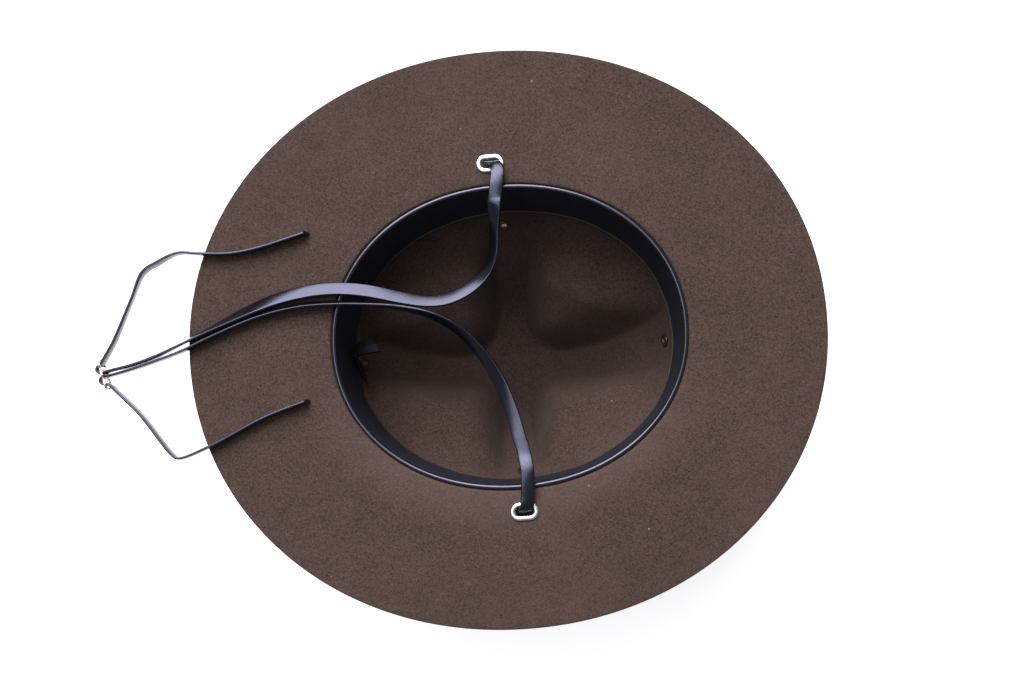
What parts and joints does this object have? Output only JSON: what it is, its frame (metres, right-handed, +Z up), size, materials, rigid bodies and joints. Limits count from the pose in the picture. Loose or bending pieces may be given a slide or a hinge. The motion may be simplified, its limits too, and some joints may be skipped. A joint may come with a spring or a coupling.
{
  "type": "campaign hat",
  "caption": "Wide flat-brimmed felt hat with a four-dent peaked crown, leather sweatband and laced chin strap, lying upside down on its peak.",
  "frame": {"origin": "on the floor below the middle of the brim, the hat lying upside down on its peak", "axes": "+X to the front of the hat, +Y to the wearer's right side, +Z up, out of the hollow"},
  "size_m": [0.4128, 0.3272, 0.1314],
  "materials": {
    "felt": "brushed fur felt, matt, warm grey brown",
    "sweat_leather": "smooth black leather, satin",
    "strap_leather": "smooth black lace leather, semi-gloss",
    "ribbon": "black ribbed ribbon",
    "nickel": "bright nickel plate",
    "bronze": "brown enamel, satin",
    "brass": "polished pale brass"
  },
  "bodies": {
    "root": {"felt_body": "felt", "sweatband": "sweat_leather", "ribbon_bow": "ribbon", "brim_eyelet_right": "nickel", "brim_eyelet_left": "nickel", "vent_front": "bronze", "vent_right": "bronze", "vent_back": "bronze", "vent_left": "bronze", "chin_strap": "strap_leather", "strap_slide": "brass"}
  },
  "joints": []
}
